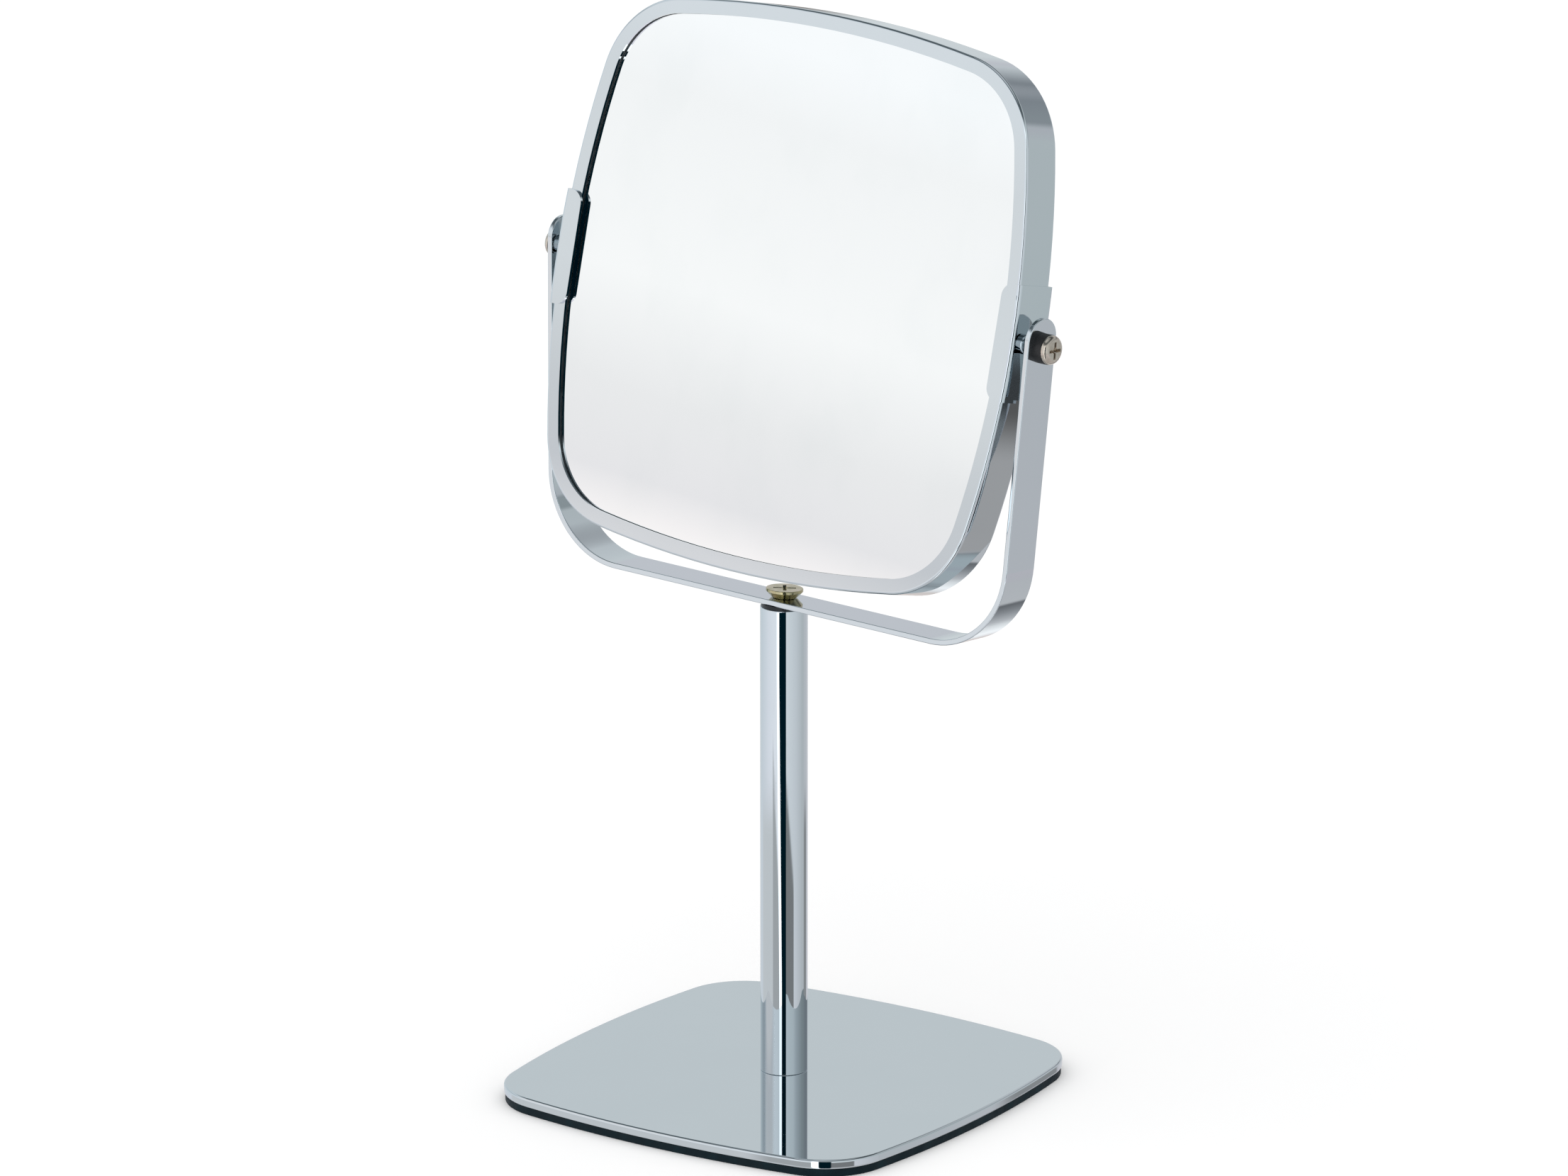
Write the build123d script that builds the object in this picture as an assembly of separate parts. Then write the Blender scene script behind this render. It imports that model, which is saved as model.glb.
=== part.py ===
"""Table-top shaving mirror: a two-sided square mirror that tilts in a bent-strip yoke on a post and base.

Millimetres. The origin is the centre of the base's flat underside, +Z is up and the user sits on -Y.
Three bodies move on each other: the base with its post, the yoke that swivels on the post, and the
mirror head that tilts between the yoke's arms.
"""
from build123d import *

from math import acos, atan2, cos, hypot, radians, sin, tan
import os

# Base: a bowed square plate on a rubber pad.
BASE_SIDE = 147.0
BASE_SIDE_R = 352.0
BASE_CORNER_R = 22.3
PLATE_T = 3.1
PLATE_TOP_EDGE_R = 0.8
PLATE_LOW_EDGE_R = 0.7
PAD_T = 2.5
PAD_INSET = 0.4
PAD_EDGE_R = 0.3
PAD_POCKET_R = 9.0
PAD_POCKET_DEPTH = 1.9

# Base screw and washer: they lie in the pad's pocket.
BASE_WASHER_R = 8.0
BASE_WASHER_T = 0.5
BASE_HEAD_R = 6.5
BASE_HEAD_T = 1.3
BASE_HEAD_EDGE_R = 0.6
BASE_SCREW_REACH = 14.0
BASE_RECESS = {"reach": 3.2, "slot": 1.1, "depth": 0.9}

# Post: a plain tube with a threaded plug pressed into each end.
POST_R = 7.5
POST_WALL = 1.2
POST_TOP = 159.0
TUBE_EDGE_R = 0.25
PLUG_GAP = 0.04
PLUG_L = 18.0
THREAD_R = 3.0
THREAD_GAP = 0.02
THREAD_CHAMFER = 0.5
HOLE_SLACK = 0.2

# Yoke: one bent strip, square to the slanted seat on the post.
YOKE_YAW = -5.8
YOKE_LEAN = 3.9
SEAT_HEIGHT = 159.8
SEAT_GAP = 0.03
SEAT_INSET = 0.3
STRIP_W = 13.6
STRIP_T = 1.8
STRIP_EDGE_R = 0.35
YOKE_HALF = 93.5
YOKE_BEND_R = 29.2
ARM_SPLAY = 3.2
PIVOT_RISE = 97.0
ARM_END_RISE = 2.5
RUNNING_GAP = 0.05

# Swivel screw: a countersunk head that stands proud of the strip.
SWIVEL_HEAD_R = 5.9
SWIVEL_HEAD_RIM = 0.9
SWIVEL_HEAD_PROUD = 3.0
SWIVEL_HEAD_EDGE_R = 0.25
SWIVEL_SCREW_REACH = 16.0
SWIVEL_RECESS = {"reach": 3.6, "slot": 1.1, "depth": 1.9}
SWIVEL_RECESS_TURN = 40.0

# Mirror head: two glasses in a rolled channel, closed by a clip on each side.
TILT = 10.2
HEAD_W = 183.0
HEAD_H = 177.0
HEAD_SIDE_R = 292.0
HEAD_END_R = 412.0
HEAD_CORNER_R = 31.0
HEAD_DEPTH = 15.0
SHEET_T = 0.8
LIP_W = 4.9
CHANNEL_EDGE_R = 0.95
SEAM_GAP = 0.1
GASKET_T = 0.7
GASKET_INSET = 0.3
GLASS_T = 2.0
GLASS_INSET = 2.8
DISH_R = 750.0
DISH_RIM_R = 84.0
CORE_INSET = 9.0
CORE_T = 2.4
FOAM_R = 5.0
FOAM_REACH = 91.5

# Side clips, joint plates and pivots.
CLIP_T = 1.0
CLIP_HALF = 18.3
CLIP_LIP_W = 6.3
CLIP_CORNER_R = 4.2
CLIP_EDGE_R = 1.3
SHEET_GAP = 0.02
JOINT_PLATE_T = 1.4
JOINT_PLATE_HALF = 15.5
JOINT_PLATE_HALF_W = 3.4
BOSS_R = 3.6
BOSS_L = 5.0
PIVOT_R = 2.5
PIVOT_L = 15.0
PIVOT_HEAD_R = 4.6
PIVOT_HEAD_RIM = 0.5
PIVOT_HEAD_TOP_R = 3.1
PIVOT_HEAD_T = 2.0
PIVOT_DOME_BULGE = 0.25
PIVOT_RECESS = {"reach": 2.7, "slot": 1.05, "depth": 1.5}
PIVOT_RECESS_TURN = 8.0
SPACER_R = 3.2
SPACER_ROUND_R = 1.1
WASHER_R = 4.7
WASHER_T = {"left": 1.85, "right": 3.15}

RECESS_TAPER = 14.0
RECESS_POINT_R = 0.2

PLATE_TOP = PAD_T + PLATE_T
HALF_DEPTH = HEAD_DEPTH / 2
GLASS_FACE = HALF_DEPTH - SHEET_T - GASKET_T
SIDES = {"left": -1, "right": 1}
ON_TOP = (Align.CENTER, Align.CENTER, Align.MIN)
BELOW = (Align.CENTER, Align.CENTER, Align.MAX)

# The yoke's frame has its origin where the strip's upper face meets the swivel axis.
SEAT = Location((0, 0, SEAT_HEIGHT), (0, 0, YOKE_YAW)) * Location((0, 0, 0), (-YOKE_LEAN, 0, 0))
YOKE = SEAT * Location((0, 0, STRIP_T))
# The head's frame has its origin on the pivot line, X along it, and the front glass facing -Y.
HEAD = YOKE * Location((0, 0, PIVOT_RISE), (-TILT, 0, 0))


# ---------------------------------------------------------------- outlines and small helpers

def bowed_outline(width, height, side_r, end_r, corner_r):
    """A rounded rectangle whose four sides bow outwards: side_r left and right, end_r top and bottom."""
    side_x = width / 2 - side_r
    end_y = height / 2 - end_r
    side_d = side_r - corner_r
    end_d = end_r - corner_r
    span = hypot(side_x, end_y)
    turn = acos((side_d**2 + span**2 - end_d**2) / (2 * side_d * span))
    bearing = atan2(end_y, -side_x) + turn
    corner = Vector(side_x + side_d * cos(bearing), side_d * sin(bearing))
    to_side = (corner - Vector(side_x, 0)).normalized()
    to_end = (corner - Vector(0, end_y)).normalized()
    to_corner = (to_side + to_end).normalized()
    side_end = corner + to_side * corner_r
    end_end = corner + to_end * corner_r
    middle = corner + to_corner * corner_r

    def flip(point, x, y):
        return (point.X * x, point.Y * y)

    edges = [
        ThreePointArc(flip(side_end, 1, -1), (width / 2, 0), flip(side_end, 1, 1)),
        ThreePointArc(flip(side_end, 1, 1), flip(middle, 1, 1), flip(end_end, 1, 1)),
        ThreePointArc(flip(end_end, 1, 1), (0, height / 2), flip(end_end, -1, 1)),
        ThreePointArc(flip(end_end, -1, 1), flip(middle, -1, 1), flip(side_end, -1, 1)),
        ThreePointArc(flip(side_end, -1, 1), (-width / 2, 0), flip(side_end, -1, -1)),
        ThreePointArc(flip(side_end, -1, -1), flip(middle, -1, -1), flip(end_end, -1, -1)),
        ThreePointArc(flip(end_end, -1, -1), (0, -height / 2), flip(end_end, 1, -1)),
        ThreePointArc(flip(end_end, 1, -1), flip(middle, 1, -1), flip(side_end, 1, -1)),
    ]
    return make_face(edges)


def base_outline(inset):
    side = BASE_SIDE - 2 * inset
    bow = BASE_SIDE_R - inset
    return bowed_outline(side, side, bow, bow, BASE_CORNER_R - inset)


def head_outline(inset):
    """The mirror head's outline on the XZ plane, moved inwards by inset."""
    width = HEAD_W - 2 * inset
    height = HEAD_H - 2 * inset
    outline = bowed_outline(width, height, HEAD_SIDE_R - inset, HEAD_END_R - inset, HEAD_CORNER_R - inset)
    return Plane.XZ * outline


def head_slab(inset, front, back, edge_r=0.0):
    """A slab of the head's outline from depth front to depth back, where depth grows towards the user."""
    slab = extrude(Pos(0, -front, 0) * head_outline(inset), -(front - back))
    if edge_r:
        rims = slab.edges().group_by(Axis.Y)
        slab = fillet(rims[0] + rims[-1], edge_r)
    return slab


def drum(radius, start, end):
    """A cylinder along Z from start to end."""
    return Pos(0, 0, start) * Cylinder(radius, end - start, align=ON_TOP)


def turned(points):
    """A solid of revolution about Z from an (r, z) outline that starts and ends on the axis."""
    return revolve(make_face(Plane.XZ * Polyline(*points, close=True)), Axis.Z)


def cross_recess(reach, slot, depth):
    """The tapered cross that a screwdriver fits, cut down from z = 0."""
    outline = Rectangle(2 * reach, slot) + Rectangle(slot, 2 * reach)
    point = Cone(RECESS_POINT_R, slot, 1.25 * depth, align=BELOW)
    return extrude(outline, -depth, taper=RECESS_TAPER) + point


def across(radius, start, end):
    """A cylinder along X from start to end, for the pivots."""
    return Rot(0, 90, 0) * drum(radius, start, end)


# ---------------------------------------------------------------- base and post

def base_pad():
    pad = extrude(base_outline(PAD_INSET), PAD_T) - drum(PAD_POCKET_R, PAD_T - PAD_POCKET_DEPTH, PAD_T)
    return fillet(pad.edges().group_by(Axis.Z)[0], PAD_EDGE_R)


def base_plate():
    plate = Pos(0, 0, PAD_T) * extrude(base_outline(0), PLATE_T)
    plate = fillet(plate.edges().group_by(Axis.Z)[-1], PLATE_TOP_EDGE_R)
    plate = fillet(plate.edges().group_by(Axis.Z)[0], PLATE_LOW_EDGE_R)
    return plate - drum(THREAD_R + HOLE_SLACK, PAD_T, PLATE_TOP)


def base_washer():
    return drum(BASE_WASHER_R, PAD_T - BASE_WASHER_T, PAD_T) - drum(THREAD_R + HOLE_SLACK, 0, PAD_T)


def base_screw():
    head_top = PAD_T - BASE_WASHER_T
    head = drum(BASE_HEAD_R, head_top - BASE_HEAD_T, head_top)
    head = fillet(head.edges().group_by(Axis.Z)[0], BASE_HEAD_EDGE_R)
    screw = head + drum(THREAD_R, head_top, PLATE_TOP + BASE_SCREW_REACH)
    recess = Pos(0, 0, head_top - BASE_HEAD_T) * Rot(180, 0, 0) * cross_recess(**BASE_RECESS)
    return chamfer(screw.edges().group_by(Axis.Z)[-1], THREAD_CHAMFER) - recess


def post_tube():
    tube = drum(POST_R, PLATE_TOP, POST_TOP) - drum(POST_R - POST_WALL, PLATE_TOP, POST_TOP)
    outer_rims = tube.edges().filter_by(GeomType.CIRCLE).sort_by(SortBy.RADIUS)[-2:]
    return fillet(outer_rims, TUBE_EDGE_R)


def lower_plug():
    plug = drum(POST_R - POST_WALL - PLUG_GAP, PLATE_TOP, PLATE_TOP + PLUG_L)
    return plug - drum(THREAD_R + THREAD_GAP, PLATE_TOP, PLATE_TOP + PLUG_L)


def upper_plug():
    """Pressed flush with the tube's top, and tapped square to the slanted seat."""
    plug = drum(POST_R - POST_WALL - PLUG_GAP, POST_TOP - PLUG_L, POST_TOP)
    return plug - SEAT * drum(THREAD_R + THREAD_GAP, -2 * PLUG_L, PLUG_L)


def swivel_seat():
    """The black wedge washer that leans the yoke back."""
    wedge = drum(POST_R - SEAT_INSET, POST_TOP, POST_TOP + PLUG_L)
    wedge &= SEAT * Pos(0, 0, -SEAT_GAP) * Box(4 * POST_R, 4 * POST_R, PLUG_L, align=BELOW)
    return wedge - SEAT * drum(THREAD_R + HOLE_SLACK, -PLUG_L, PLUG_L)


def swivel_screw():
    """A countersunk screw down through the strip and the seat into the upper plug."""
    cone_top = SWIVEL_HEAD_PROUD - SWIVEL_HEAD_RIM
    cone_foot = cone_top - (SWIVEL_HEAD_R - THREAD_R)
    tip = -STRIP_T - SWIVEL_SCREW_REACH
    screw = turned([
        (0, tip),
        (THREAD_R - THREAD_CHAMFER, tip),
        (THREAD_R, tip + THREAD_CHAMFER),
        (THREAD_R, cone_foot),
        (SWIVEL_HEAD_R, cone_top),
        (SWIVEL_HEAD_R, SWIVEL_HEAD_PROUD),
        (0, SWIVEL_HEAD_PROUD),
    ])
    screw = fillet(screw.edges().group_by(Axis.Z)[-1], SWIVEL_HEAD_EDGE_R)
    recess = Pos(0, 0, SWIVEL_HEAD_PROUD) * Rot(0, 0, SWIVEL_RECESS_TURN) * cross_recess(**SWIVEL_RECESS)
    return YOKE * (screw - recess)


# ---------------------------------------------------------------- yoke

def arm_outer_x(z):
    """How far out an arm's outer face is at height z over the strip's upper face."""
    splay = radians(ARM_SPLAY)
    bend_end_x = YOKE_HALF - YOKE_BEND_R * (1 - cos(splay))
    bend_end_z = YOKE_BEND_R * (1 - sin(splay)) - STRIP_T
    return bend_end_x + (z - bend_end_z) * tan(splay)


def strip_side(offset, height):
    """Half of the strip's section line, offset inside its outer face: foot, bend's middle and end, tip."""
    splay = radians(ARM_SPLAY)
    centre = Vector(YOKE_HALF - YOKE_BEND_R, YOKE_BEND_R - STRIP_T)
    radius = YOKE_BEND_R - offset
    half_turn = radians(45 + ARM_SPLAY / 2)
    foot = centre - Vector(0, radius)
    middle = centre + Vector(radius * cos(half_turn), -radius * sin(half_turn))
    bend_end = centre + Vector(radius * cos(splay), -radius * sin(splay))
    top = (arm_outer_x(height) - offset / cos(splay), height)
    return [foot, middle, bend_end, top]


def yoke_strip():
    height = PIVOT_RISE + ARM_END_RISE + STRIP_W / 2
    outer_foot, outer_middle, outer_bend, outer_top = strip_side(0, height)
    inner_foot, inner_middle, inner_bend, inner_top = strip_side(STRIP_T, height)
    half = [
        Line((0, -STRIP_T), outer_foot),
        ThreePointArc(outer_foot, outer_middle, outer_bend),
        Line(outer_bend, outer_top),
        Line(outer_top, inner_top),
        Line(inner_top, inner_bend),
        ThreePointArc(inner_bend, inner_middle, inner_foot),
        Line(inner_foot, (0, 0)),
        Line((0, 0), (0, -STRIP_T)),
    ]
    section = Plane.XZ * make_face(half)
    arm = extrude(section, STRIP_W / 2, both=True)
    arm = round_arm_end(arm)
    arm -= across(PIVOT_R + RUNNING_GAP, YOKE_HALF / 2, 2 * YOKE_HALF).moved(Pos(0, 0, PIVOT_RISE))
    strip = arm + mirror(arm, Plane.YZ)
    countersink_r = SWIVEL_HEAD_R - SWIVEL_HEAD_PROUD + SWIVEL_HEAD_RIM + 3 * RUNNING_GAP
    hole_r = THREAD_R + RUNNING_GAP
    sink = Cone(hole_r, countersink_r, countersink_r - hole_r, align=BELOW)
    return YOKE * (strip - drum(hole_r, -2 * STRIP_T, STRIP_T) - sink)


def round_arm_end(arm):
    """Rounds the arm's end to a half circle a little over the pivot, then softens the long edges."""
    reach = 4 * STRIP_W
    end = Rot(0, 90, 0) * Cylinder(STRIP_W / 2, reach)
    stem = Box(reach, STRIP_W, 2 * PIVOT_RISE, align=BELOW)
    mask = Pos(YOKE_HALF, 0, PIVOT_RISE + ARM_END_RISE) * (end + stem)
    foot = Box(2 * YOKE_HALF, STRIP_W, 2 * YOKE_BEND_R)
    arm &= mask + foot
    long_edges = [edge for edge in arm.edges() if abs(edge.center().Y) > STRIP_W / 2 - RUNNING_GAP]
    return fillet([edge for edge in long_edges if edge.center().X > RUNNING_GAP], STRIP_EDGE_R)


def friction_washer(side):
    """A black washer between the arm and the screw's head; it takes up the arm's splay."""
    face = arm_outer_x(PIVOT_RISE)
    washer = across(WASHER_R, face - STRIP_T, face + WASHER_T[side])
    washer -= across(PIVOT_R + RUNNING_GAP, 0, 2 * YOKE_HALF)
    size = 4 * WASHER_R
    outside = Box(size, size, size, align=(Align.MIN, Align.CENTER, Align.CENTER))
    washer &= Pos(face, 0, 0) * Rot(0, ARM_SPLAY, 0) * outside
    if SIDES[side] < 0:
        washer = mirror(washer, Plane.YZ)
    return YOKE * Pos(0, 0, PIVOT_RISE) * washer


# ---------------------------------------------------------------- mirror head

def head_channel():
    """The rolled channel that holds both glasses, as one closed hoop."""
    hoop = head_slab(0, HALF_DEPTH, -HALF_DEPTH, CHANNEL_EDGE_R)
    hoop -= head_slab(SHEET_T, HALF_DEPTH - SHEET_T, SHEET_T - HALF_DEPTH, CHANNEL_EDGE_R - SHEET_T)
    return hoop - head_slab(LIP_W, HEAD_DEPTH, -HEAD_DEPTH)


def channel_half(side):
    """The upper (side 1) or lower (side -1) half of the channel, notched where the pivots pass."""
    half = Pos(0, 0, SEAM_GAP / 2) * Box(2 * HEAD_W, 2 * HEAD_DEPTH, HEAD_H, align=ON_TOP)
    if side < 0:
        half = mirror(half, Plane.XY)
    return HEAD * ((head_channel() & half) - across(PIVOT_R + HOLE_SLACK, -HEAD_W, HEAD_W))


def gasket(direction):
    """The black ring between a lip and its glass, in front (1) or behind (-1)."""
    lip_face = HALF_DEPTH - SHEET_T
    ring = head_slab(CHANNEL_EDGE_R, lip_face, GLASS_FACE)
    ring -= head_slab(LIP_W - GASKET_INSET, HEAD_DEPTH, 0)
    if direction < 0:
        ring = mirror(ring, Plane.XZ)
    return HEAD * ring


def front_glass():
    return HEAD * head_slab(GLASS_INSET, GLASS_FACE, GLASS_FACE - GLASS_T)


def rear_glass():
    """A glass with a round magnifying dish that opens to the rear, inside a flat border."""
    flat = head_slab(GLASS_INSET, GLASS_T - GLASS_FACE, -GLASS_FACE)
    drop = (DISH_R**2 - DISH_RIM_R**2) ** 0.5
    dish = Pos(0, GLASS_FACE + drop, 0) * Sphere(DISH_R)
    bulge = Pos(0, GLASS_FACE - GLASS_T + drop, 0) * Sphere(DISH_R)
    window = Rot(90, 0, 0) * Cylinder(DISH_RIM_R + GLASS_T / 2, 2 * HEAD_DEPTH)
    bulge &= window & head_slab(GLASS_INSET, HALF_DEPTH, -GLASS_FACE)
    return HEAD * (flat + bulge - dish)


def core_board():
    top = GLASS_FACE - GLASS_T
    return HEAD * head_slab(CORE_INSET, top, top - CORE_T)


def foam_pads():
    """Four pads that press the rear glass's flat border against its gasket."""
    high = CORE_T + GLASS_T - GLASS_FACE
    low = GLASS_FACE - GLASS_T
    pad = Rot(-90, 0, 0) * drum(FOAM_R, high, low)
    places = [Rot(0, 45 + 90 * turn, 0) * Pos(FOAM_REACH, 0, 0) for turn in range(4)]
    return HEAD * Compound([place * pad for place in places])


def side_clip(side):
    """A bent sheet that wraps the channel over its seam."""
    reach = HALF_DEPTH + CLIP_T
    clip = head_slab(-CLIP_T, reach, -reach, CLIP_EDGE_R)
    inside = HALF_DEPTH + SHEET_GAP
    clip -= head_slab(-SHEET_GAP, inside, -inside, CHANNEL_EDGE_R)
    corners = RectangleRounded(4 * CLIP_HALF, 2 * CLIP_HALF, CLIP_CORNER_R)
    window = extrude(Plane.XZ * corners, HEAD_DEPTH, both=True)
    clip &= Pos(HEAD_W / 2 - CLIP_LIP_W + 2 * CLIP_HALF, 0, 0) * window
    clip -= across(PIVOT_R + HOLE_SLACK, 0, HEAD_W)
    if SIDES[side] < 0:
        clip = mirror(clip, Plane.YZ)
    return HEAD * clip


def joint_plate(side):
    """A curved plate inside the channel that bridges the seam and carries the pivot's threaded boss."""
    high = JOINT_PLATE_HALF_W
    plate = head_slab(SHEET_T + SHEET_GAP, high, -high)
    plate -= head_slab(SHEET_T + JOINT_PLATE_T, HEAD_DEPTH, -HEAD_DEPTH)
    plate &= Box(HEAD_W, HEAD_DEPTH, 2 * JOINT_PLATE_HALF, align=(Align.MIN, Align.CENTER, Align.CENTER))
    inner = HEAD_W / 2 - SHEET_T - JOINT_PLATE_T
    plate += across(BOSS_R, inner - BOSS_L, inner + JOINT_PLATE_T / 2)
    plate -= across(PIVOT_R + THREAD_GAP, inner - 2 * BOSS_L, HEAD_W)
    if SIDES[side] < 0:
        plate = mirror(plate, Plane.YZ)
    return HEAD * plate


def pivot_spacer(side):
    """The rounded bush that keeps the arm off the clip."""
    start = HEAD_W / 2 + CLIP_T
    end = arm_outer_x(PIVOT_RISE - SPACER_R) - STRIP_T / cos(radians(ARM_SPLAY)) - RUNNING_GAP
    sleeve = across(SPACER_R, start, end)
    sleeve = fillet(sleeve.edges().group_by(Axis.X)[0], SPACER_ROUND_R)
    sleeve -= across(PIVOT_R + THREAD_GAP, start, end)
    if SIDES[side] < 0:
        sleeve = mirror(sleeve, Plane.YZ)
    return HEAD * sleeve


def pivot_screw(side):
    """A low domed cross-head screw through washer, arm, bush and clip into the joint plate."""
    rim = Vector(PIVOT_HEAD_R, PIVOT_HEAD_RIM)
    flat = Vector(PIVOT_HEAD_TOP_R, PIVOT_HEAD_T)
    dome = (rim + flat) / 2 + Vector(PIVOT_DOME_BULGE, PIVOT_DOME_BULGE)
    stem = [
        (0, PIVOT_HEAD_T),
        (0, -PIVOT_L),
        (PIVOT_R - THREAD_CHAMFER, -PIVOT_L),
        (PIVOT_R, THREAD_CHAMFER - PIVOT_L),
        (PIVOT_R, 0),
        (PIVOT_HEAD_R, 0),
        rim,
    ]
    profile = Polyline(*stem) + ThreePointArc(rim, dome, flat) + Line(flat, stem[0])
    screw = revolve(Plane.XZ * make_face(profile), Axis.Z)
    recess = Rot(0, 0, PIVOT_RECESS_TURN) * cross_recess(**PIVOT_RECESS)
    screw -= Pos(0, 0, PIVOT_HEAD_T) * recess
    seat = arm_outer_x(PIVOT_RISE) + WASHER_T[side] + RUNNING_GAP
    screw = Pos(seat, 0, 0) * Rot(0, 90, 0) * screw
    return mirror(screw, Plane.YZ) if SIDES[side] < 0 else screw


def pivot_screws():
    return HEAD * Compound([pivot_screw(side) for side in SIDES])


# ---------------------------------------------------------------- every node

def all_nodes():
    nodes = {
        "base_pad": base_pad(),
        "base_plate": base_plate(),
        "base_washer": base_washer(),
        "base_screw": base_screw(),
        "post_tube": post_tube(),
        "post_lower_plug": lower_plug(),
        "post_upper_plug": upper_plug(),
        "swivel_seat": swivel_seat(),
        "swivel_screw": swivel_screw(),
        "yoke_strip": yoke_strip(),
        "frame_upper": channel_half(1),
        "frame_lower": channel_half(-1),
        "front_gasket": gasket(1),
        "rear_gasket": gasket(-1),
        "front_glass": front_glass(),
        "rear_glass": rear_glass(),
        "core_board": core_board(),
        "foam_pads": foam_pads(),
        "pivot_screws": pivot_screws(),
    }
    for side in SIDES:
        nodes[f"friction_washer_{side}"] = friction_washer(side)
        nodes[f"side_clip_{side}"] = side_clip(side)
        nodes[f"joint_plate_{side}"] = joint_plate(side)
        nodes[f"pivot_spacer_{side}"] = pivot_spacer(side)
    return nodes


os.makedirs("parts", exist_ok=True)
for name, shape in all_nodes().items():
    export_step(shape, f"parts/{name}.step")
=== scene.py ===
"""Looks for the table-top shaving mirror: materials, studio light, floor and camera."""

from math import cos, radians, sin

import bpy
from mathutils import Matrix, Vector


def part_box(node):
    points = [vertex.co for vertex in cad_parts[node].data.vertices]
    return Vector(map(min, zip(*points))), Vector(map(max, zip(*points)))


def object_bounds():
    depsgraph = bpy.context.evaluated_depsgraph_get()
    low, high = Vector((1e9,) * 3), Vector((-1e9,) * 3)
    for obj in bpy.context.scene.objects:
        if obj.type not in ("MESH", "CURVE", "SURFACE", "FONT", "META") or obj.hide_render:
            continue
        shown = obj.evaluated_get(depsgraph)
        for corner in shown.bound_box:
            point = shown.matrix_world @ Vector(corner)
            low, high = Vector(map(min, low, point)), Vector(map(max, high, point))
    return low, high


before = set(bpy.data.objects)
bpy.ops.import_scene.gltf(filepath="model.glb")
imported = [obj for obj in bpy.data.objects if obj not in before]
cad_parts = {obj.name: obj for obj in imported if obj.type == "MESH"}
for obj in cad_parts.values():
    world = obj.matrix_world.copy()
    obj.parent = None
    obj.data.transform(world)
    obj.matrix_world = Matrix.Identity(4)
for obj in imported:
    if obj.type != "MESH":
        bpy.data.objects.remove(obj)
CAD_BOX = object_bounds()
MM = 0.001

# Camera: the photograph's viewing angle and distance.
VIEW_AZIMUTH = radians(34.06)
VIEW_ELEVATION = radians(16.563)
VIEW_DISTANCE = 3.7864
AIM_HEIGHT = 0.16459
FOCAL_LENGTH = 277.3
SENSOR_WIDTH = 36.0
CLIP_END = 100.0

# Floor and light.
FLOOR_SIDE = 30.0
FLOOR_GREYS = ((0.90, 0.90, 0.90), (0.92, 0.92, 0.92))
FLOOR_PATCH = 400.0
TOP_LIGHT = 0.5
TOP_LIGHT_SPREAD = radians(120)
TOP_LIGHT_LEAN = (radians(14), radians(-10), 0.0)

# Card in front of the glass; its greys go up the card, from -CARD_RAMP to CARD_RAMP.
CARD_DISTANCE = 0.75
CARD_SIDE = 0.9
CARD_BEARING = radians(-43.9)
CARD_RISE = radians(5.5)
CARD_RAMP = 0.14
CARD_FADE_START = 0.2
CARD_GREYS = [
    (0.20, (0.51, 0.49, 0.49)),
    (0.27, (0.42, 0.415, 0.425)),
    (0.38, (0.435, 0.435, 0.44)),
    (0.53, (0.495, 0.498, 0.50)),
    (0.78, (0.475, 0.48, 0.485)),
    (0.88, (0.50, 0.51, 0.52)),
]

# Surroundings, seen only in the chrome. Angles are in degrees: turn goes round from the camera, and rise
# goes up from level. Colours are for GLOW times their brightness, so that a ramp can hold them.
GLOW = 2.0
BACKDROP = (1 / GLOW, 1 / GLOW, 1 / GLOW)
HALF_TURN = 180
UPRIGHT = 90
WALLS = [
    (-180, (0.353, 0.376, 0.386)),
    (-140, (0.37, 0.41, 0.43)),
    (-78, (0.48, 0.50, 0.525)),
    (-40, (0.51, 0.53, 0.55)),
    (20, (0.42, 0.45, 0.46)),
    (60, (0.37, 0.395, 0.41)),
    (100, (0.293, 0.317, 0.323)),
    (140, (0.33, 0.34, 0.355)),
    (180, (0.353, 0.376, 0.386)),
]
# Shades of the walls by rise, with a dim ceiling.
SHADES = [
    (-90, (0.7, 0.7, 0.7)),
    (-23, (1.10, 0.99, 1.03)),
    (-15, (0.99, 1.0, 1.0)),
    (4, (1.0, 1.0, 1.0)),
    (10.5, (0.965, 0.925, 0.955)),
    (16, (1.0, 1.0, 1.0)),
    (34, (1.0, 1.0, 1.0)),
    (47, (0.14, 0.16, 0.17)),
    (58, (0.14, 0.16, 0.17)),
    (68, (0.62, 0.63, 0.64)),
    (90, (0.75, 0.76, 0.77)),
]
# Shades of the walls by turn, a little over eye level.
UPPER_RISE = (13, 24)
UPPER_SOFT = 2
UPPER_SHADES = [
    (-160, (1.0, 1.0, 1.0)),
    (-143, (0.9, 0.9, 0.9)),
    (-116, (0.62, 0.63, 0.64)),
    (-89, (0.78, 0.79, 0.80)),
    (-67, (1.0, 1.0, 1.0)),
    (47, (1.0, 1.0, 1.0)),
    (60, (0.82, 0.83, 0.84)),
    (106, (0.61, 0.63, 0.64)),
    (128, (0.48, 0.50, 0.52)),
    (147, (0.38, 0.40, 0.42)),
    (165, (1.0, 1.0, 1.0)),
]
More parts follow.
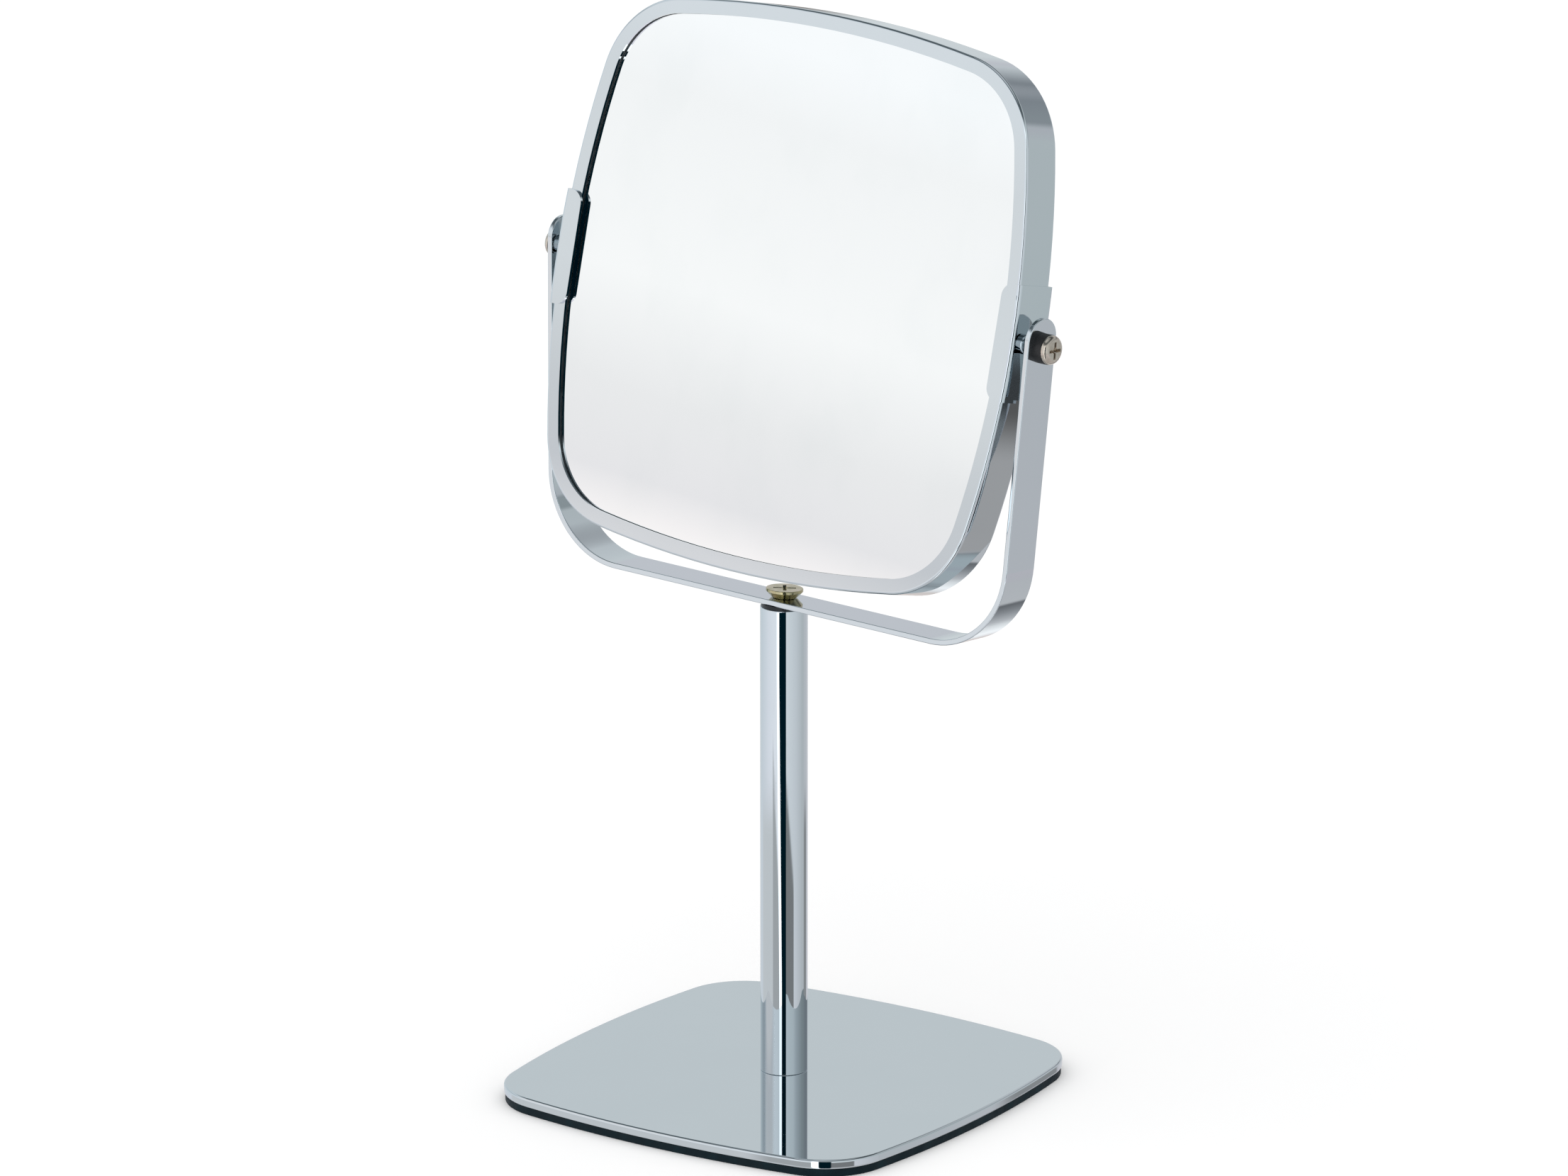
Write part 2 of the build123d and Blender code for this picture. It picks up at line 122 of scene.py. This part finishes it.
# Colours by turn, low down.
LOW_START = -24
LOW_END = -29
LOW_DOWN = [
    (-180, (0.28, 0.29, 0.30)),
    (-100, (0.36, 0.37, 0.38)),
    (60, (0.31, 0.31, 0.32)),
    (122, (0.325, 0.325, 0.335)),
    (124.5, (0.09, 0.093, 0.10)),
    (135, (0.165, 0.17, 0.18)),
    (150, (0.31, 0.313, 0.325)),
    (157, (0.455, 0.462, 0.47)),
    (168, (0.58, 0.587, 0.595)),
    (174, (0.44, 0.44, 0.45)),
    (180, (0.50, 0.50, 0.51)),
]
# Dim part straight behind the mirror.
DIM_TURN = (172, 177)
DIM_RISE = (-38, -9)
DIM_SOFT = 4
DIM_FADE = (-21, -16.5)
DIM_LOW = (0.365, 0.335, 0.325)
DIM_HIGH = (0.105, 0.095, 0.09)
# Light stands: each is from a start to an end turn, soft at its edges, up to one of the tops.
STAND_FOOT = (-21, -20)
FLAT_TOP = (-17.45, -17.75)
LEFT_TOP = (-18.52, -18.68)
LEFT_TOP_SLOPE = 0.0232
RIGHT_TOP = (-17.28, -17.42)
RIGHT_TOP_SLOPE = 0.0129
STAND_TINT = (0.98, 1.0, 1.02)
STANDS = [
    ("flat", -125, -55, 4, 0.385),
    ("left", -56, -8, 2, 0.255),
    ("right", -8, 48, 1.5, 0.13),
    ("flat", 118, 137, 3, 0.17),
]
# Dark opening at the camera, with a window along its left edge, which leans with the rise.
EDGE_RISE = -16.2
EDGE_REACH = (0.8, 2.25)
EDGE_TURN = (-23.3, -10.6)
EDGE_SOFT = 0.8
OPENING_END = (8.5, 11)
OPENING_RISE = (-55, 28)
OPENING_SOFT = 5
OPENING_COLOUR = (0.0, 0.006, 0.010)
WINDOW_WIDTH = 12
WINDOW_SOFT = 1
WINDOW_RISE = (-60, 35)
WINDOW_RISE_SOFT = 8
WINDOW_COLOUR = (0.95, 0.98, 1.0)

# Marks on the finishes: sizes in millimetres, and the levels of the noise where each starts and is full.
CHROME_MARKS = {"cloud": 34.0, "smudge": 11.0, "hairline": 0.7, "wave": 26.0, "ripple": 2.2}
SMUDGE_LEVELS = (0.52, 0.72)
SMUDGE_STRETCH = (1.0, 1.0, 0.55)
HAIRLINE_LEVELS = (0.68, 0.78)
HAIRLINE_STRETCH = (0.035, 1.0, 1.3)
GLASS_MARKS = {"film": 23.0, "speck": 0.9}
FILM_LEVELS = (0.45, 0.8)
FILM_STRETCH = (1.0, 1.0, 0.6)
SPECK_LEVELS = (0.79, 0.84)
RUBBER_MARKS = {"scuff": 6.0, "gloss": 3.0}
SCUFF_LEVELS = (0.45, 0.75)
RUBBER_GLOSS_DRIFT = 0.08
SCREW_MARKS = {"tint": 2.6, "satin": 0.5, "lumps": 3.0, "grain": 0.35}
SCREW_GLOSS_DRIFT = (0.07, 0.09)
BOARD_FIBRE = 0.8
BOARD_STRETCH = (1.0, 1.0, 0.2)
MIDDLE_LEVELS = (0.3, 0.7)

# Finishes: colours, roughness from 0 to 1, and the depths of their bumps in millimetres.
CHROME_COLOURS = ((0.625, 0.672, 0.70), (0.65, 0.693, 0.72))
CHROME_ROUGHNESS = 0.018
CHROME_HAIRLINES = 0.035
# Waviness, ripple and smudges' haze of each chromed piece.
CHROME_PLATE = (0.002, 0.00002, 0.02)
CHROME_TUBE = (0.0012, 0.00003, 0.025)
CHROME_SHEET = (0.012, 0.00006, 0.03)
CHROME_STRIP = (0.003, 0.00005, 0.03)
GLASS_COLOURS = ((0.93, 0.945, 0.945), (0.905, 0.925, 0.925))
GLASS_ROUGHNESS = 0.004
GLASS_FILM = 0.018
GLASS_SPECKS = 0.05
# Dark and light colours, grain size and depth, roughness and shine of each rubber or plastic.
PAD = ((0.001, 0.010, 0.015), (0.003, 0.018, 0.025), 0.45, 0.05, 0.6, 0.15)
WASHER = ((0.006, 0.006, 0.007), (0.022, 0.022, 0.024), 0.3, 0.02, 0.5, 0.4)
NYLON = ((0.006, 0.009, 0.012), (0.02, 0.024, 0.028), 0.5, 0.01, 0.4, 0.4)
VINYL = ((0.004, 0.010, 0.014), (0.012, 0.022, 0.028), 0.6, 0.01, 0.35, 0.4)
FOAM = ((0.03, 0.03, 0.032), (0.08, 0.08, 0.085), 0.25, 0.12, 0.9, 0.4)
# Tints, roughness and grain depth of each plated steel.
YELLOW_STOPS = [(0.3, (0.36, 0.32, 0.17)), (0.5, (0.50, 0.44, 0.27)), (0.7, (0.58, 0.49, 0.36))]
NICKEL_STOPS = [(0.3, (0.50, 0.44, 0.37)), (0.7, (0.64, 0.58, 0.51))]
STEEL_STOPS = [(0.3, (0.42, 0.43, 0.45)), (0.7, (0.56, 0.57, 0.58))]
YELLOW_ZINC = (YELLOW_STOPS, 0.17, 0.0015)
BRIGHT_NICKEL = (NICKEL_STOPS, 0.16, 0.0012)
ZINC_STEEL = (STEEL_STOPS, 0.32, 0.005)
BOARD_STOPS = [(0.3, (0.33, 0.31, 0.28)), (0.7, (0.5, 0.48, 0.45))]
BOARD_FIBRE_DEPTH = 0.08
MATT = 0.9


# ---------------------------------------------------------------- node helpers

def add(tree, kind, inputs=(), **settings):
    """A node with its settings made and its inputs given as sockets to link or as plain values."""
    node = tree.nodes.new(kind)
    for name, value in settings.items():
        setattr(node, name, value)
    for key, value in dict(inputs).items():
        if isinstance(value, bpy.types.NodeSocket):
            tree.links.new(value, node.inputs[key])
        else:
            node.inputs[key].default_value = value
    return node


def maths(tree, operation, a, b=0.0, c=0.0):
    return add(tree, "ShaderNodeMath", {0: a, 1: b, 2: c}, operation=operation).outputs[0]


def both(tree, first, second):
    return maths(tree, "MULTIPLY", first, second)


def even(tree, value, start, end, low=0.0, high=1.0, how="LINEAR"):
    """Goes evenly from low to high as value goes from start to end."""
    inputs = {"Value": value, "From Min": start, "From Max": end, "To Min": low, "To Max": high}
    return add(tree, "ShaderNodeMapRange", inputs, interpolation_type=how).outputs["Result"]


def smooth(tree, value, start, end, low=0.0, high=1.0):
    """Eases from low to high as value goes from start to end."""
    return even(tree, value, start, end, low, high, "SMOOTHSTEP")


def between(tree, value, start, end, soft):
    """1 while value is from start to end, with edges that are soft wide."""
    rise = smooth(tree, value, start - soft, start + soft)
    fall = smooth(tree, value, end - soft, end + soft, 1.0, 0.0)
    return both(tree, rise, fall)


def opaque(colour):
    """A colour as a node's colour input takes it; a socket stays as it is."""
    return colour if isinstance(colour, bpy.types.NodeSocket) else (*colour, 1.0)


def blend_colours(tree, factor, first, second, how="MIX"):
    inputs = {0: factor, 6: opaque(first), 7: opaque(second)}
    return add(tree, "ShaderNodeMix", inputs, data_type="RGBA", blend_type=how).outputs[2]


def ramp(tree, value, stops):
    """A colour ramp through (position, colour) stops."""
    node = add(tree, "ShaderNodeValToRGB", {0: value})
    elements = node.color_ramp.elements
    while len(elements) < len(stops):
        elements.new(0.5)
    for element, (position, colour) in zip(elements, stops):
        element.position = position
        element.color = opaque(colour)
    return node.outputs[0]


def angle_ramp(tree, angle, limit, stops):
    """A colour ramp over an angle from -limit to limit degrees."""
    places = [((stop + limit) / (2 * limit), colour) for stop, colour in stops]
    return ramp(tree, even(tree, angle, -limit, limit), places)


def object_space(tree, scale=(1.0, 1.0, 1.0)):
    """Positions on the piece in millimetres, stretched by scale."""
    coordinates = add(tree, "ShaderNodeTexCoord").outputs["Object"]
    stretch = [factor / MM for factor in scale]
    return add(tree, "ShaderNodeMapping", {"Vector": coordinates, "Scale": stretch}).outputs[0]


def noise(tree, size, detail=2.0, stretch=(1.0, 1.0, 1.0)):
    """Noise whose lumps are about size millimetres wide."""
    inputs = {"Vector": object_space(tree, stretch), "Scale": 1 / size, "Detail": detail}
    return add(tree, "ShaderNodeTexNoise", inputs).outputs[0]


def bump(tree, height, depth, under=None):
    """A bump of depth millimetres, over another bump if there is one."""
    inputs = {"Height": height, "Distance": depth * MM, "Strength": 1.0}
    if under is not None:
        inputs["Normal"] = under
    return add(tree, "ShaderNodeBump", inputs).outputs[0]


def material(name):
    made = bpy.data.materials.new(name)
    made.use_nodes = True
    return made, made.node_tree, made.node_tree.nodes["Principled BSDF"]


def connect(tree, shader, **sockets):
    """Links what is given to the shader's inputs of those names, with spaces for underscores."""
    for name, value in sockets.items():
        tree.links.new(value, shader.inputs[name.replace("_", " ")])


# ---------------------------------------------------------------- materials

def chrome(name, waviness, ripple, haze):
    """Polished chrome plate: long waves, a fine ripple, hairlines and faint wiped smudges."""
    made, tree, shader = material(name)
    cloud = noise(tree, CHROME_MARKS["cloud"], 3.0)
    smudge = smooth(tree, noise(tree, CHROME_MARKS["smudge"], 4.0, SMUDGE_STRETCH), *SMUDGE_LEVELS)
    drawn = noise(tree, CHROME_MARKS["hairline"], 2.0, HAIRLINE_STRETCH)
    hairline = smooth(tree, drawn, *HAIRLINE_LEVELS)
    colour = blend_colours(tree, cloud, *CHROME_COLOURS)
    roughness = maths(tree, "MULTIPLY_ADD", smudge, haze, CHROME_ROUGHNESS)
    scratched = maths(tree, "MULTIPLY_ADD", hairline, CHROME_HAIRLINES, roughness)
    long_waves = bump(tree, noise(tree, CHROME_MARKS["wave"], 1.0), waviness)
    surface = bump(tree, noise(tree, CHROME_MARKS["ripple"]), ripple, long_waves)
    shader.inputs["Metallic"].default_value = 1.0
    connect(tree, shader, Base_Color=colour, Roughness=scratched, Normal=surface)
    return made


def mirror_glass():
    """Silvered glass: nearly clean, with a breath of dust and wiped marks."""
    made, tree, shader = material("silvered_glass")
    film = smooth(tree, noise(tree, GLASS_MARKS["film"], 4.0, FILM_STRETCH), *FILM_LEVELS)
    specks = smooth(tree, noise(tree, GLASS_MARKS["speck"], 1.0), *SPECK_LEVELS)
    colour = blend_colours(tree, film, *GLASS_COLOURS)
    roughness = maths(tree, "MULTIPLY_ADD", film, GLASS_FILM, GLASS_ROUGHNESS)
    dusty = maths(tree, "MULTIPLY_ADD", specks, GLASS_SPECKS, roughness)
    shader.inputs["Metallic"].default_value = 1.0
    connect(tree, shader, Base_Color=colour, Roughness=dusty)
    return made


def rubber(name, dark, light, grain, depth, roughness, shine):
    """Rubber or soft plastic with a fine moulded grain and greyish scuffs."""
    made, tree, shader = material(name)
    scuff = smooth(tree, noise(tree, RUBBER_MARKS["scuff"], 5.0), *SCUFF_LEVELS)
    colour = blend_colours(tree, scuff, dark, light)
    drift = (roughness - RUBBER_GLOSS_DRIFT, roughness + RUBBER_GLOSS_DRIFT)
    matt = smooth(tree, noise(tree, RUBBER_MARKS["gloss"], 3.0), *MIDDLE_LEVELS, *drift)
    moulded = bump(tree, noise(tree, grain, 3.0), depth)
    shader.inputs["Specular IOR Level"].default_value = shine
    connect(tree, shader, Base_Color=colour, Roughness=matt, Normal=moulded)
    return made


def plated_screw(name, stops, roughness, grain):
    """Plated steel whose tint drifts, with a dull grain over low lumps."""
    made, tree, shader = material(name)
    tint = ramp(tree, noise(tree, SCREW_MARKS["tint"]), stops)
    brighter, duller = SCREW_GLOSS_DRIFT
    drift = (roughness - brighter, roughness + duller)
    satin = smooth(tree, noise(tree, SCREW_MARKS["satin"], 3.0), *MIDDLE_LEVELS, *drift)
    lumps = bump(tree, noise(tree, SCREW_MARKS["lumps"], 1.0), grain * 2)
    surface = bump(tree, noise(tree, SCREW_MARKS["grain"]), grain, lumps)
    shader.inputs["Metallic"].default_value = 1.0
    connect(tree, shader, Base_Color=tint, Roughness=satin, Normal=surface)
    return made


def pulp_board():
    """Pressed grey board with fibres that run up it."""
    made, tree, shader = material("pulp_board")
    fibre = noise(tree, BOARD_FIBRE, 4.0, BOARD_STRETCH)
    shader.inputs["Roughness"].default_value = MATT
    furry = bump(tree, fibre, BOARD_FIBRE_DEPTH)
    connect(tree, shader, Base_Color=ramp(tree, fibre, BOARD_STOPS), Normal=furry)
    return made


def dress_nodes():
    """Gives every CAD node its material."""
    strip_chrome = chrome("chrome_strip", *CHROME_STRIP)
    by_slot = {
        "chrome": chrome("chrome_sheet", *CHROME_SHEET),
        "mirror": mirror_glass(),
        "pad_rubber": rubber("pad_foam_rubber", *PAD),
        "washer_rubber": rubber("washer_rubber", *WASHER),
        "seat_nylon": rubber("black_nylon", *NYLON),
        "gasket_black": rubber("black_vinyl", *VINYL),
        "yellow_zinc": plated_screw("yellow_zinc", *YELLOW_ZINC),
        "nickel": plated_screw("bright_nickel", *BRIGHT_NICKEL),
        "plain_steel": plated_screw("zinc_steel", *ZINC_STEEL),
        "grey_board": pulp_board(),
        "foam": rubber("dark_foam", *FOAM),
    }
    by_node = {
        "base_plate": chrome("chrome_base_plate", *CHROME_PLATE),
        "post_tube": chrome("chrome_tube", *CHROME_TUBE),
        "yoke_strip": strip_chrome,
        "pivot_spacer_left": strip_chrome,
        "pivot_spacer_right": strip_chrome,
    }
    for name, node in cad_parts.items():
        for place in node.material_slots:
            place.material = by_node.get(name, by_slot[place.material.name])


# ---------------------------------------------------------------- studio

def toward(azimuth, elevation):
    """The direction at that angle round from the front and up from level."""
    level = cos(elevation)
    return Vector((sin(azimuth) * level, -cos(azimuth) * level, sin(elevation)))


def behind_the_mirror(tree, turn, rise, room):
    """The room with its dim part straight behind the mirror, low down."""
    far_round = smooth(tree, maths(tree, "ABSOLUTE", turn), *DIM_TURN)
    place = both(tree, far_round, between(tree, rise, *DIM_RISE, DIM_SOFT))
    dim = blend_colours(tree, smooth(tree, rise, *DIM_FADE), DIM_LOW, DIM_HIGH)
    return blend_colours(tree, place, room, dim)


def stands(tree, turn, rise, room):
    """The room with light stands to either side, whose slanting tops the tube shows."""
    over_foot = smooth(tree, rise, *STAND_FOOT)
    left_height = maths(tree, "MULTIPLY_ADD", turn, LEFT_TOP_SLOPE, rise)
    right_height = maths(tree, "MULTIPLY_ADD", turn, RIGHT_TOP_SLOPE, rise)
    tops = {
        "flat": both(tree, smooth(tree, rise, *FLAT_TOP), over_foot),
        "left": both(tree, smooth(tree, left_height, *LEFT_TOP), over_foot),
        "right": both(tree, smooth(tree, right_height, *RIGHT_TOP), over_foot),
    }
    for top, start, end, soft, grey in STANDS:
        place = both(tree, between(tree, turn, start, end, soft), tops[top])
        room = blend_colours(tree, place, room, [grey * part for part in STAND_TINT])
    return room


def opening(tree, turn, rise, room):
    """The room with its dark opening at the camera and the window along the opening's left edge."""
    reach = maths(tree, "ABSOLUTE", maths(tree, "SUBTRACT", rise, EDGE_RISE))
    past_edge = maths(tree, "SUBTRACT", turn, even(tree, reach, *EDGE_REACH, *EDGE_TURN))
    window_rise = between(tree, rise, *WINDOW_RISE, WINDOW_RISE_SOFT)
    window = both(tree, between(tree, past_edge, -WINDOW_WIDTH, 0, WINDOW_SOFT), window_rise)
    lit = blend_colours(tree, window, room, WINDOW_COLOUR)
    start = smooth(tree, past_edge, -EDGE_SOFT, EDGE_SOFT)
    width = both(tree, start, smooth(tree, turn, *OPENING_END, 1.0, 0.0))
    gap = both(tree, width, between(tree, rise, *OPENING_RISE, OPENING_SOFT))
    return blend_colours(tree, gap, lit, OPENING_COLOUR)


def dot(tree, ray, direction):
    inputs = {0: ray, 1: direction}
    return add(tree, "ShaderNodeVectorMath", inputs, operation="DOT_PRODUCT").outputs["Value"]


def studio_sky():
    """Plain white all round, and in the chrome a soft room with a dark opening at the camera."""
    world = bpy.data.worlds.new("studio")
    bpy.context.scene.world = world
    world.use_nodes = True
    tree = world.node_tree
    tree.nodes.clear()
    ray = add(tree, "ShaderNodeTexCoord").outputs["Generated"]
    along = dot(tree, ray, toward(VIEW_AZIMUTH, 0))
    across = dot(tree, ray, toward(VIEW_AZIMUTH + radians(90), 0))
    turn = maths(tree, "DEGREES", maths(tree, "ARCTAN2", across, along))
    height = add(tree, "ShaderNodeSeparateXYZ", {0: ray}).outputs["Z"]
    rise = maths(tree, "DEGREES", maths(tree, "ARCSINE", height))

    walls = angle_ramp(tree, turn, HALF_TURN, WALLS)
    room = blend_colours(tree, 1.0, walls, angle_ramp(tree, rise, UPRIGHT, SHADES), "MULTIPLY")
    upper = between(tree, rise, *UPPER_RISE, UPPER_SOFT)
    room = blend_colours(tree, upper, room, angle_ramp(tree, turn, HALF_TURN, UPPER_SHADES), "MULTIPLY")
    low = smooth(tree, rise, LOW_START, LOW_END)
    room = blend_colours(tree, low, room, angle_ramp(tree, turn, HALF_TURN, LOW_DOWN))
    for change in (behind_the_mirror, stands, opening):
        room = change(tree, turn, rise, room)

    reflected = add(tree, "ShaderNodeLightPath").outputs["Is Glossy Ray"]
    colour = blend_colours(tree, reflected, BACKDROP, room)
    light = add(tree, "ShaderNodeBackground", {"Color": colour, "Strength": GLOW}).outputs[0]
    add(tree, "ShaderNodeOutputWorld", {"Surface": light})


def plane(name, side):
    """A square face of that side, centred on its own origin and facing its own +Z."""
    half = side / 2
    mesh = bpy.data.meshes.new(name)
    corners = [(-half, -half, 0), (half, -half, 0), (half, half, 0), (-half, half, 0)]
    mesh.from_pydata(corners, [], [(0, 1, 2, 3)])
    made = bpy.data.objects.new(name, mesh)
    bpy.context.scene.collection.objects.link(made)
    return made


def pale_floor():
    """A plain matt floor under the base; the chrome doesn't show it."""
    floor = plane("floor", FLOOR_SIDE)
    floor.location.z = CAD_BOX[0].z
    floor.visible_glossy = False
    made, tree, shader = material("pale_floor")
    shader.inputs["Roughness"].default_value = MATT
    shader.inputs["Specular IOR Level"].default_value = 0.0
    connect(tree, shader, Base_Color=blend_colours(tree, noise(tree, FLOOR_PATCH), *FLOOR_GREYS))
    floor.data.materials.append(made)


def top_light():
    """One very soft light from overhead; the chrome doesn't show it."""
    lamp = bpy.data.lights.new("top_light", "SUN")
    lamp.energy = TOP_LIGHT
    lamp.angle = TOP_LIGHT_SPREAD
    light = bpy.data.objects.new("top_light", lamp)
    light.rotation_euler = TOP_LIGHT_LEAN
    light.visible_glossy = False
    bpy.context.scene.collection.objects.link(light)


def reflector_card():
    """A softly graded card in front of the glass, seen in reflections only."""
    low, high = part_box("front_glass")
    bearing = toward(CARD_BEARING, CARD_RISE)
    card = plane("reflector_card", CARD_SIDE)
    card.location = (low + high) / 2 + bearing * CARD_DISTANCE
    card.rotation_mode = "QUATERNION"
    card.rotation_quaternion = (-bearing).to_track_quat("Z", "Y")
    for ray in ("visible_camera", "visible_diffuse", "visible_shadow", "visible_transmission"):
        setattr(card, ray, False)
    made, tree, shader = material("card")
    tree.nodes.remove(shader)
    place = add(tree, "ShaderNodeTexCoord").outputs["Object"]
    up = add(tree, "ShaderNodeSeparateXYZ", {0: place}).outputs["Y"]
    grey = ramp(tree, even(tree, up, -CARD_RAMP, CARD_RAMP), CARD_GREYS)
    distance = add(tree, "ShaderNodeVectorMath", {0: place}, operation="LENGTH").outputs["Value"]
    fade = smooth(tree, distance, CARD_FADE_START, CARD_SIDE / 2, 1.0, 0.0)
    light = add(tree, "ShaderNodeEmission", {"Color": grey, "Strength": GLOW}).outputs[0]
    clear = add(tree, "ShaderNodeBsdfTransparent").outputs[0]
    mixed = add(tree, "ShaderNodeMixShader", {0: fade, 1: clear, 2: light}).outputs[0]
    tree.links.new(mixed, tree.nodes["Material Output"].inputs["Surface"])
    card.data.materials.append(made)


def camera():
    lens = bpy.data.cameras.new("camera")
    lens.lens = FOCAL_LENGTH
    lens.sensor_width = SENSOR_WIDTH
    lens.clip_end = CLIP_END
    made = bpy.data.objects.new("camera", lens)
    back = toward(VIEW_AZIMUTH, VIEW_ELEVATION)
    made.location = Vector((0, 0, AIM_HEIGHT)) + back * VIEW_DISTANCE
    made.rotation_mode = "QUATERNION"
    made.rotation_quaternion = (-back).to_track_quat("-Z", "Y")
    bpy.context.scene.collection.objects.link(made)
    bpy.context.scene.camera = made


dress_nodes()
studio_sky()
pale_floor()
top_light()
reflector_card()
camera()
bpy.context.scene.view_settings.view_transform = "Standard"
